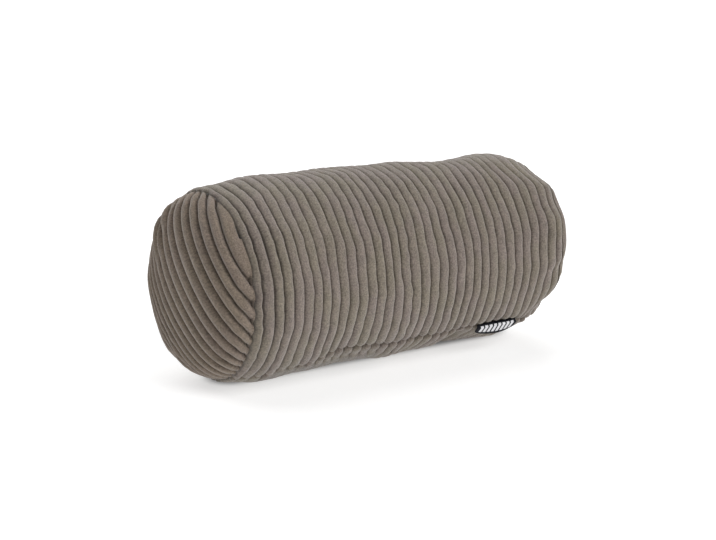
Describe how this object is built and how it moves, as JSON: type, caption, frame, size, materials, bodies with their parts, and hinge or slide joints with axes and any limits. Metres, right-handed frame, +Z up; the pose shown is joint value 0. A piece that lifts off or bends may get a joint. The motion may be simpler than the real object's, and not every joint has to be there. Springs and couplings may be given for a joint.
{
  "type": "neck pillow",
  "caption": "Filled neck roll in wide-wale corduroy with crowned round end panels, a pinched long seam and a small folded label.",
  "frame": {"origin": "centre of the bounding box in plan, on the surface that the roll rests on", "axes": "+X along the roll towards the end with the label, +Z up, and -Y towards the side with the long seam"},
  "size_m": [0.3983, 0.1843, 0.1838],
  "materials": {
    "corduroy": "short soft pile on wide wales, matt",
    "label": "close satin weave, slight sheen"
  },
  "bodies": {
    "root": {"body": "corduroy", "end_panel_left": "corduroy", "end_panel_right": "corduroy", "woven_label": "label"}
  },
  "joints": []
}
